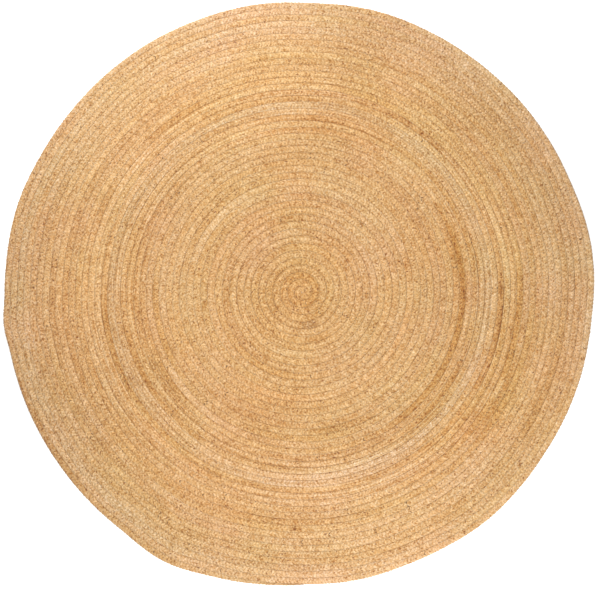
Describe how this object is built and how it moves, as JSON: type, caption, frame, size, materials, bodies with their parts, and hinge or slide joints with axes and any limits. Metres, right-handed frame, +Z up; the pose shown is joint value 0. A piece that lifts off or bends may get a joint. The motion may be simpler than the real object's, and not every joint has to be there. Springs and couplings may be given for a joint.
{
  "type": "round jute rug",
  "caption": "Round flat rug: a jute braid wound into a flat spiral and laced edge to edge, with the tail of the braid tapered into the rim.",
  "frame": {"origin": "middle of the outline's bounding box, on the underside", "axes": "+Z up out of the rug's face, -Y towards the tail end of the braid, +X to the right"},
  "size_m": [1.5062, 1.4936, 0.0095],
  "materials": {
    "jute": "matte"
  },
  "bodies": {
    "root": {"braided_coil": "jute"}
  },
  "joints": []
}
